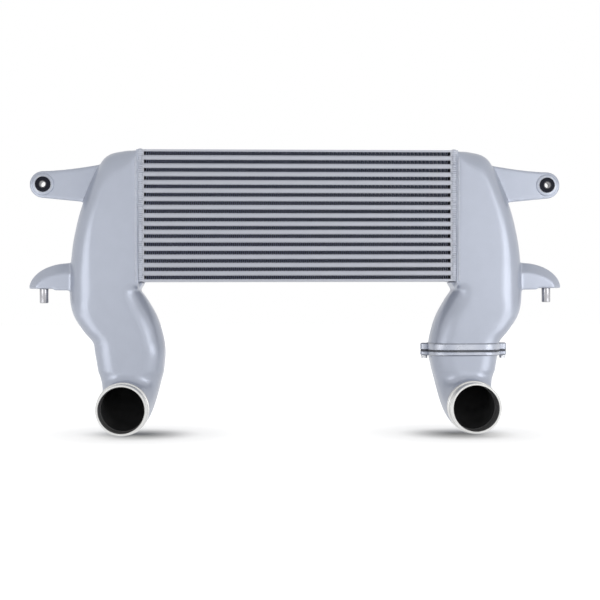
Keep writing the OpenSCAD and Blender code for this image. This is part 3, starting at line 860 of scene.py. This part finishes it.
LAID_IN_ROWS = pattern(laid_in_rows, {"Count": 1, "Step": (0.0, 0.0, 0.0), "Strips": 1,
                                      "Strip Step": (0.0, 0.0, 0.0), "Shift": 0.0})
WELD_RUN = pattern(weld_run, {"Pitch": 0.003, "Half Width": 0.005, "Half Height": 0.002,
                              "Half Length": 0.003, "Unevenness": 0.12, "Seed": 1})


def repeated(piece, tree, material, sizes):
    """Runs a pattern on a piece and keeps the result as its mesh."""
    step = piece.modifiers.new("pattern", "NODES")
    step.node_group = tree
    names = {item.name: item.identifier for item in tree.interface.items_tree
             if item.in_out == "INPUT" and item.name != "Shape"}
    for label, value in {**sizes, "Finish": material}.items():
        step[names[label]] = value
    return baked(piece)


# Parts of the casting, all on the right side

def ear_plate():
    """The flat arm, from inside the flank out to its round end."""
    root_top = EAR_R + EAR_RISE
    root_low = -EAR_R - EAR_FALL
    top_x = flank_x(root_top) - TANK_WALL
    low_x = flank_x(root_low) - TANK_WALL
    tip = arc(EAR_X, 0, EAR_R, -90, 90, 32)
    upper = [(mix(EAR_X, top_x, k / 16), EAR_R + EAR_RISE * (k / 16) ** EAR_POWER)
             for k in range(1, 17)]
    deep = [(top_x - 8, root_top), (low_x - 8, root_low), (low_x, root_low)]
    return extruded("ear", tip + upper + deep, EAR_T / 2)


def bracket_body():
    """The ridged bracket over the locating pin, with its thicker foot."""
    def hull(work):
        inside = bmesh.ops.convex_hull(work, input=work.verts)["geom_interior"]
        bmesh.ops.delete(work, geom=inside, context="VERTS")

    x0 = BULGE_X - 3 * TANK_WALL
    points = []
    for down, width in ((0, BRACKET_RIDGE_W), (1, BRACKET_W)):
        length, height = BRACKET_L - down * BRACKET_BEVEL_L, BRACKET_H - down * BRACKET_BEVEL_H
        line = [(BULGE_X + length * c, BRACKET_Z + height * s) for c, s in arc(0, 0, 1, 0, 90, 18)]
        line = [(x0, BRACKET_Z)] + line + [(x0, BRACKET_Z + height)]
        points += [(x, y, z) for x, z in line for y in (-width / 2, width / 2)]
    body = outward(edited(mesh_piece("bracket", points), hull))
    foot = box_piece("foot", (x0, -BRACKET_W / 2, BRACKET_Z - FOOT_H),
                     (BULGE_X + FOOT_L, BRACKET_W / 2, BRACKET_Z + FOOT_H))
    return [body, foot]


def throat_web():
    """The cast web under the end of the core."""
    x, z = CORE_END + THROAT_OUT, CORE_BOTTOM - THROAT_DROP
    outline = [(CORE_END - 4, CORE_BOTTOM), (x + 3, CORE_BOTTOM), (x + 4, z), (x, z - 0.8)]
    return extruded("web", outline, WEB_D / 2)


def pad():
    """The thicker round pad that holds the grommet, with a soft edge."""
    half = PAD_T / 2
    face = [(PAD_R, half - 2), (PAD_R - 0.5, half - 1.1), (PAD_R - 1.5, half - 0.3),
            (PAD_R - 2.8, half), (0, half)]
    return turned("pad", on_both_faces(face), ear_place)


def hole(place, r, low, high):
    """A round cutter along a line."""
    return turned("hole", [(0, low), (r, low), (r, high), (0, high)], place, 64)


def weld_flange(name, start, end, wall=0):
    """The flange beside the core, or its opening inside a wall."""
    half = CORE_D / 2 - wall
    return box_piece(name, (CORE_END + start, -half, CORE_BOTTOM + wall),
                     (CORE_END + end, half, CORE_TOP - wall))


def spigot_outside():
    """The machined end: a shoulder, a bead for the hose, and a chamfered rim."""
    start, shoulder_r = BEND_R - TANK_WALL, OUTLET_NECK_R - 0.3
    profile = [(0, start), (shoulder_r, start), (shoulder_r, BEND_R + 1.2),
               (SPIGOT_R, BEND_R + 2.2)]
    profile += arc(SPIGOT_R, RIM - HOSE_BEAD_BACK, HOSE_BEAD_R, -90, 90, 12)
    profile += [(SPIGOT_R, RIM - RIM_CHAMFER), (SPIGOT_R - RIM_CHAMFER, RIM), (0, RIM)]
    return turned("spigot", profile, spigot_place, SPIGOT_SIDES)


def spigot_inside():
    """The bore, with a wider step where the machining ends."""
    throat_r = OUTLET_NECK_R - TANK_WALL + 0.2
    profile = [(0, BEND_R - 1), (throat_r, BEND_R - 1), (throat_r, BEND_R + 3),
               (RAW_BORE_R, BEND_R + 4.5), (RAW_BORE_R, RIM - BORE_BAND), (BORE_R, RIM - BORE_BAND),
               (BORE_R, RIM + 0.01), (0, RIM + 0.01)]
    return turned("bore", profile, spigot_place, SPIGOT_SIDES)


def rim_opening(depth, widen):
    """A round cutter at the rim of the bore, wider by so much at its mouth."""
    profile = [(0, RIM - depth), (BORE_R, RIM - depth), (BORE_R + widen, RIM + 0.01),
               (0, RIM + 0.01)]
    return turned("rim", profile, spigot_place, SPIGOT_SIDES)


def bore_out(body):
    """Bores the spigot: raw inside and a finer band at the mouth, both darkened as painted shade,
    and a bright chamfer.
    """
    cut(body, spigot_inside(), shaded_bore_skin)
    cut(body, rim_opening(BORE_BAND - 0.5, 0.02), shaded_bore_band)
    cut(body, rim_opening(RIM_CHAMFER, RIM_CHAMFER), spigot_metal)


def flange_outline(grow_by):
    """The oval of the joint."""
    a, b = NECK_W / 2 + FLANGE_LIP + grow_by, TANK_D / 2 + FLANGE_LIP + grow_by
    return [(NECK_X + u, v)
            for u, v in rounded(a, b, NECK_R_OUT + grow_by, NECK_R_IN + grow_by, 16)]


def lug_outline(x, grow_by):
    """A round lug with straight sides that run back into the neck."""
    away = 1 if x > NECK_X else -1
    r = LUG_R + grow_by
    start = -90 if away > 0 else 90
    back = NECK_X + away * (NECK_W / 2 - 6)
    return arc(x, 0, r, start, start + 180, 20) + [(back, r * away), (back, -r * away)]


def flange(z, thick):
    """A joint flange with soft edges and its two lugs."""
    def layered(outline):
        layers = ((-FLANGE_EDGE, z), (0, z + FLANGE_EDGE), (0, z + thick - FLANGE_EDGE),
                  (-FLANGE_EDGE, z + thick))
        return lofted("flange", [[(x, y, h) for x, y in outline(g)] for g, h in layers])

    body = layered(flange_outline)
    for x in (INNER_BOLT_X, OUTER_BOLT_X):
        grow(body, layered(lambda g, x=x: lug_outline(x, g)))
    return body


def cut_bolt_holes(body):
    for x in (INNER_BOLT_X, OUTER_BOLT_X):
        cut(body, hole(upright(x, JOINT_Z + BOLT_HOLE_LOW), BOLT_HOLE_R, 0,
                       UPPER_FLANGE_T + 0.5 - BOLT_HOLE_LOW), shaded_bore_skin)


def painted_tank(name, bend=None):
    """A tank of the right side, hollow, with its ear, bracket and flanges."""
    outer, inner = (casting_rings(tank_stations(), inset, bend) for inset in (0, TANK_WALL))
    body = lofted(name, outer)
    joined(body, [ear_plate(), throat_web()] + bracket_body())
    dressed(softened(body, TANK_VOXEL), cast_paint)
    grow(body, pad(), cast_paint)
    grow(body, weld_flange("flange", 0, WELD_FLANGE_T), cast_paint)
    if bend:
        grow(body, spigot_outside(), spigot_metal)
    else:
        grow(body, flange(JOINT_Z, UPPER_FLANGE_T), highlit_flange_paint)
        cut_bolt_holes(body)
        inner.append([(x, y, z - 1) for x, y, z in inner[-1]])
    cut(body, lofted("cavity", inner), shaded_bore_skin)
    cut(body, weld_flange("mouth", -1, WELD_FLANGE_T / 2 + 1, WELD_FLANGE_WALL), shaded_bore_skin)
    cut(body, hole(ear_place, GROMMET_HOLE_R, -PAD_T, PAD_T), spigot_metal)
    cut(body, hole(upright(PIN_X, BRACKET_Z - 1), SHANK_R + 0.05, 0, SHANK_L + 1.5), spigot_metal)
    if bend:
        bore_out(body)
    return smooth(body)


def painted_elbow(name):
    """The outlet elbow that is bolted under the right tank."""
    top = [v - GASKET_T if i in (1, 3) else v for i, v in enumerate(tank_stations()[-1])]
    outer, inner = (casting_rings([top], inset, RIGHT_BEND) for inset in (0, TANK_WALL))
    body = dressed(softened(lofted(name, outer), ELBOW_VOXEL), cast_paint)
    grow(body, spigot_outside(), spigot_metal)
    grow(body, flange(JOINT_Z - GASKET_T - LOWER_FLANGE_T, LOWER_FLANGE_T), highlit_flange_paint)
    cut_bolt_holes(body)
    above = [(x, y, z + 1) for x, y, z in inner[0]]
    cut(body, lofted("cavity", [above] + inner), shaded_bore_skin)
    bore_out(body)
    return smooth(body)


# The core

def fin_fold(low, high, pitch, margin):
    """One fold of the fin strip: a foot, a wall, a crest and a wall, in one thickness."""
    half = FIN_SHEET_T / 2
    wall = pitch / 2
    x, y, bottom, top = low.x + margin, low.y, low.z, high.z
    under = [(-half, bottom), (wall - FIN_LEAN + half, bottom),
             (wall + FIN_LEAN + half, top - 2 * half), (pitch - FIN_LEAN - half, top - 2 * half),
             (pitch + FIN_LEAN - half, bottom)]
    over = [(pitch + FIN_LEAN + half, bottom), (pitch - FIN_LEAN + half, top),
            (wall + FIN_LEAN - half, top), (wall - FIN_LEAN - half, bottom + 2 * half),
            (-half, bottom + 2 * half)]
    rings = [[(x + u + lean_in, y + depth, v) for u, v in under + over]
             for lean_in, depth in ((-FIN_LOUVRE / 2, 0), (FIN_LOUVRE / 2, FIN_STRIP))]
    return lofted("fin", rings)


def add_fin_rows():
    for i in range(1, AIR_ROWS + 1):
        node = f"ambient_fin_{i:02d}"
        low, high = (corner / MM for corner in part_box(node))
        margin = FIN_LOUVRE / 2 + 2 * FIN_SHEET_T
        pitch = (high.x - low.x - 2 * margin) / (FIN_FOLDS + FIN_SHIFT)
        strips = round((high.y - low.y) / FIN_STRIP)
        piece = fin_fold(low, high, pitch, margin)
        piece.name = f"lanced_fin_row_{i:02d}"
        sizes = {"Count": FIN_FOLDS, "Step": (pitch * MM, 0, 0), "Strips": strips,
                 "Strip Step": (0, (high.y - low.y) / strips * MM, 0), "Shift": FIN_SHIFT}
        keep(repeated(piece, LAID_IN_ROWS, fin_metal, sizes), "dark_fin", node)


def add_closing_bars():
    """Closing bars with a low rounded nose between the edges of the parting sheets."""
    for node, front in (("front_closing_bars", 1), ("rear_closing_bars", -1)):
        low, high = (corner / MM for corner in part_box(node))
        row_pitch = (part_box("ambient_fin_01")[0].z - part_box("ambient_fin_02")[0].z) / MM
        tall = high.z - low.z - (AIR_ROWS - 2) * row_pitch
        face, back = (low.y, high.y) if front > 0 else (high.y, low.y)
        nose = [(face + front * (BAR_NOSE_BACK - BAR_NOSE * math.sin(math.pi * k / 8)),
                 tall * k / 8) for k in range(9)]
        outline = nose + [(back, tall), (back, 0)]
        rings = [[(x, y, high.z - tall + z) for y, z in outline] for x in (low.x, high.x)]
        piece = lofted(node.replace("closing", "rounded"), rings)
        sizes = {"Count": AIR_ROWS - 1, "Step": (0, 0, -row_pitch * MM)}
        keep(smooth(repeated(piece, LAID_IN_ROWS, core_paint, sizes)), "core_aluminium", node)


def weld(name, line, material, ripples):
    path = mesh_piece(name, line, edges=[(k, k + 1) for k in range(len(line) - 1)])
    return repeated(path, WELD_RUN, material, ripples)


def weld_bead(name):
    """The weld round the joint's front, top and back, and the fine bead beside it in front."""
    y, r, top = CORE_D / 2 + WELD_STAND, WELD_CORNER_R, CORE_TOP + WELD_STAND
    front = [(-y, CORE_BOTTOM + 2)] + arc(r - y, top - r, r, 180, 90, 3)
    line = [(CORE_END, y, z) for y, z in front + [(-y, z) for y, z in reversed(front)]]
    x, y = CORE_END + WELD_FLANGE_T + EDGE_WELD_OUT, CORE_D / 2 + EDGE_WELD_STAND
    edge = [(x, -y - EDGE_WELD_LEAN, CORE_BOTTOM + 1), (x, -y, CORE_TOP - EDGE_WELD_DROP - r)]
    return joined(weld(name, line, weld_paint, WELD_RIPPLES),
                  [weld("edge", edge, highlit_flange_paint, EDGE_RIPPLES)])


# Fittings

def keep(piece, slot, *stands_for):
    """A finished piece of the part, in place of its CAD nodes."""
    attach(piece, "root")
    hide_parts(*stands_for)


def on_both_sides(make, name, slot, node):
    """The same fitting on the right and, turned over, on the left."""
    for side in ("right", "left"):
        piece = make(f"{side}_{name}")
        keep(mirrored(piece) if side == "left" else piece, slot, f"{side}_{node}")


def ribbed_grommet(name):
    """A rubber grommet with soft lips and a groove round each face."""
    half = PAD_T / 2
    lip, groove = half + 3, half + 2.4
    face = [(GROMMET_HOLE_R - 0.05, half + 0.02), (GROMMET_R - 0.5, half + 0.02),
            (GROMMET_R, half + 0.6), (GROMMET_R, half + 1.7), (GROMMET_R - 0.4, half + 2.5),
            (GROMMET_R - 1.3, lip), (SLEEVE_R + 4, lip), (SLEEVE_R + 3.6, groove),
            (SLEEVE_R + 2.6, groove), (SLEEVE_R + 2.2, lip), (SLEEVE_R + 0.7, lip),
            (SLEEVE_R + 0.05, groove)]
    return smooth(dressed(turned(name, on_both_faces(face), ear_place, 96), rubber), 50)


def turned_sleeve(name):
    """A steel sleeve with its ends chamfered inside and outside."""
    half = SLEEVE_L / 2
    profile = [(SLEEVE_R - 0.5, half), (SLEEVE_BORE_R + 0.5, half), (SLEEVE_BORE_R, half - 0.5),
               (SLEEVE_BORE_R, 0.5 - half), (SLEEVE_BORE_R + 0.5, -half), (SLEEVE_R - 0.5, -half),
               (SLEEVE_R, 0.5 - half), (SLEEVE_R, half - 0.5)]
    return smooth(dressed(turned(name, profile, ear_place, 96), dark_steel))


def ground_pin(name):
    """The locating pin, with a turned neck under its bracket and a rounded tip."""
    low = -PIN_L
    profile = [(0, SHANK_L), (SHANK_R - 0.5, SHANK_L), (SHANK_R, SHANK_L - 0.5), (SHANK_R, 0),
               (PIN_R - 0.4, 0), (PIN_R, -0.4), (PIN_R, low + 1.6), (PIN_R - 0.3, low + 0.8),
               (PIN_R - 0.9, low + 0.2), (PIN_R - 1.6, low), (2.2, low), (1.4, low + 0.9),
               (0, low + 1.6)]
    return smooth(dressed(turned(name, profile, upright(PIN_X, BRACKET_Z), 96), pin_metal))


def joint_bolt(name, x):
    """A hexagon bolt from below, with a chamfered head and a threaded shank."""
    head = lofted(name, [[(*corner, HEAD_TOP_Z + h) for corner in arc(x, 0, HEAD_R, 0, 300, 5)]
                         for h in (-HEAD_H, -0.3)])
    chamfer = [(0, -HEAD_H), (HEAD_R * 0.82, -HEAD_H), (HEAD_R, 0.9 - HEAD_H), (HEAD_R, -0.6),
               (HEAD_R * 0.9, -0.3), (HEAD_R * 0.86, 0), (0, 0)]
    cut(head, turned("chamfer", chamfer, upright(x, HEAD_TOP_Z), 48), operation="INTERSECT")
    top = JOINT_Z + UPPER_FLANGE_T - HEAD_TOP_Z
    shank = [(0, -0.1), (BOLT_R, -0.1)]
    for k in range(int(top / THREAD_PITCH) - 1):
        shank += [(BOLT_R, THREAD_PITCH * (k + 0.5)),
                  (BOLT_R - THREAD_DEPTH, THREAD_PITCH * (k + 1))]
    shank += [(BOLT_R, top - 0.6), (BOLT_R - 0.6, top), (0, top)]
    grow(head, turned("shank", shank, upright(x, HEAD_TOP_Z), 48))
    return head


def joint_washer(name, x):
    profile = [(BOLT_HOLE_R, 0), (WASHER_R - 0.3, 0), (WASHER_R, 0.3), (WASHER_R, WASHER_T - 0.2),
               (WASHER_R - 0.2, WASHER_T), (BOLT_HOLE_R, WASHER_T)]
    return turned(name, profile, upright(x, HEAD_TOP_Z), 64)


def add_joint_fittings():
    """Two bolts and two washers, each pair in one piece as in the CAD."""
    for make, name, node in ((joint_bolt, "joint_bolts", "flange_bolts"),
                             (joint_washer, "joint_washers", "flange_washers")):
        inner, outer = (make(name, x) for x in (INNER_BOLT_X, OUTER_BOLT_X))
        keep(smooth(dressed(joined(inner, [outer]), zinc)), "plated_steel", node)


def add_castings():
    keep(mirrored(painted_tank("left_tank_casting", LEFT_BEND)), "silver_casting", "left_end_tank")
    keep(painted_tank("right_tank_casting"), "silver_casting", "right_end_tank")
    keep(painted_elbow("outlet_elbow_casting"), "silver_casting", "outlet_elbow")


def dress_cad_nodes():
    """The plates, sheets, header bars, inner fins and gasket keep their CAD shape."""
    finishes = {"fin": charge_fin_metal, "gasket": gasket_board}
    for name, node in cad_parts.items():
        kind = next((word for word in finishes if word in name), None)
        dressed(node, finishes[kind] if kind else core_paint)


dress_cad_nodes()
add_castings()
add_fin_rows()
add_closing_bars()
on_both_sides(weld_bead, "rippled_weld", "weld_metal", "weld_bead")
on_both_sides(ribbed_grommet, "ribbed_grommet", "rubber", "grommet")
on_both_sides(turned_sleeve, "turned_sleeve", "plated_steel", "mount_sleeve")
on_both_sides(ground_pin, "ground_pin", "polished_pin", "locating_pin")
add_joint_fittings()


# Floor, lamps, world and camera

FLOOR_HALF = 9000
FLOOR_TONE = (0.6, 0.6, 0.6)
FLOOR_PAINTED_SHADOW = (0.42, 0.42, 0.42)

# The painted shadow under each outlet: its middle, how it turns with the camera, and where it fades
SHADE_X = 0.282
SHADE_Y = -0.062
SHADE_SLOPE = -0.0433
SHADE_SQUEEZE = 0.95
NEAR_FADE = (-0.004, 0.112, 0.0, 0.62)
FAR_FADE = (0.06, 0.3, 0.0, 0.38)

WORLD_LEVEL = 0.68
WORLD_TOP_LEVEL = 0.2

# Each lamp's name, its place, where it points, its two sides and its watts
LAMPS = (
    ("left_box", (-1.5, -1.45, -0.12), (0, 0, -0.25), (1.3, 0.65), 5.1),
    ("right_box", (1.5, -1.48, -0.1), (0, 0, -0.25), (1.35, 0.7), 7.0),
    ("left_card", (-0.86, -0.5, -0.44), (-0.86, -0.5, 1), (0.6, 0.6), 1.5),
    ("right_card", (0.9, -0.5, -0.44), (0.9, -0.5, 1), (0.6, 0.6), 1.8),
    ("front_soft", (0.8, -2.1, 0.5), (0, 0, -0.15), (2.0, 1.6), 5.0),
    ("left_front", (-0.6, -2.15, 0.02), (-0.33, 0, -0.1), (0.35, 0.5), 0.45),
)

# The camera of the photograph: it looks level, from a little left of the middle
CAMERA_AT = (-90.2, -2197.1, -210.7)
CAMERA_TURN = 2.48
CAMERA_ROLL = -0.12
CAMERA_LENS = 72
CAMERA_SENSOR = 36


def add_floor():
    """A white floor. It glows to the camera away from the part; towards each outlet its colour and
    glow fall into a painted shadow, over the shadow it really gets.
    """
    corners = [(FLOOR_HALF * x, FLOOR_HALF * y, 0)
               for x, y in ((-1, -1), (1, -1), (1, 1), (-1, 1))]
    floor = mesh_piece("floor", corners, [(0, 1, 2, 3)])
    floor.data.transform(Matrix.Translation((0, 0, cad_box[0].z)))
    material, shader, coords = new_material(
        "white_floor", {"Roughness": 0.9, "Specular IOR Level": 0.0,
                        "Emission Color": (1, 1, 1, 1)})
    x, y, _ = split(coords)
    aside = times(calc("SUBTRACT", calc("ABSOLUTE", x), SHADE_X), SHADE_SQUEEZE)
    ahead = calc("SUBTRACT", y, plus(SHADE_Y, times(x, SHADE_SLOPE)))
    away = calc("SQRT", plus(times(aside, aside), times(ahead, ahead)))
    # painted shadow: low near each outlet, rising to a white glow away from it
    painted_shadow_fade = plus(spread(away, *NEAR_FADE, interpolation_type="SMOOTHSTEP"), spread(away, *FAR_FADE))
    seen = put("ShaderNodeLightPath", tree=material.node_tree).outputs
    strength = greatest(times(painted_shadow_fade, seen["Is Camera Ray"]),
                        greatest(seen["Is Glossy Ray"], seen["Is Transmission Ray"]))
    links = material.node_tree.links
    # the floor's colour darkens towards each outlet as a painted shadow
    links.new(tinted(painted_shadow_fade, FLOOR_PAINTED_SHADOW, FLOOR_TONE), shader.inputs["Base Color"])
    links.new(strength, shader.inputs["Emission Strength"])
    dressed(floor, material)


def add_lamps():
    for name, at, to, size, watts in LAMPS:
        lamp = bpy.data.lights.new(name, "AREA")
        lamp.shape = "RECTANGLE"
        lamp.size, lamp.size_y = size
        lamp.energy = watts
        ob = add_object(name, lamp)
        ob.location = at
        ob.rotation_euler = (Vector(to) - Vector(at)).to_track_quat("-Z", "Y").to_euler()


def add_world():
    """White where it is seen or mirrored, and a plain level for the light that it gives."""
    world = bpy.data.worlds.new("studio")
    world.use_nodes = True
    bpy.context.scene.world = world
    tree = world.node_tree
    seen = put("ShaderNodeLightPath", tree=tree).outputs
    rays = greatest(seen["Is Camera Ray"],
                    greatest(seen["Is Glossy Ray"], seen["Is Transmission Ray"]))
    background = tree.nodes["Background"]
    background.inputs["Color"].default_value = (1, 1, 1, 1)
    up = split(put("ShaderNodeTexCoord", tree=tree).outputs["Generated"])[2]
    level = spread(up, 0.0, 1.0, WORLD_LEVEL, WORLD_TOP_LEVEL)
    tree.links.new(greatest(rays, level), background.inputs["Strength"])


def add_camera():
    camera = add_object("camera", bpy.data.cameras.new("camera"))
    camera.data.sensor_width = CAMERA_SENSOR
    camera.data.lens = CAMERA_LENS
    camera.data.clip_end = 50
    turn = Matrix.Rotation(math.radians(-CAMERA_TURN), 4, "Z")
    level = Matrix.Rotation(math.radians(90), 4, "X")
    roll = Matrix.Rotation(math.radians(CAMERA_ROLL), 4, "Z")
    camera.matrix_world = Matrix.Translation(Vector(CAMERA_AT) * MM) @ turn @ level @ roll
    bpy.context.scene.camera = camera


add_floor()
add_lamps()
add_world()
add_camera()
bpy.context.scene.view_settings.view_transform = "Standard"
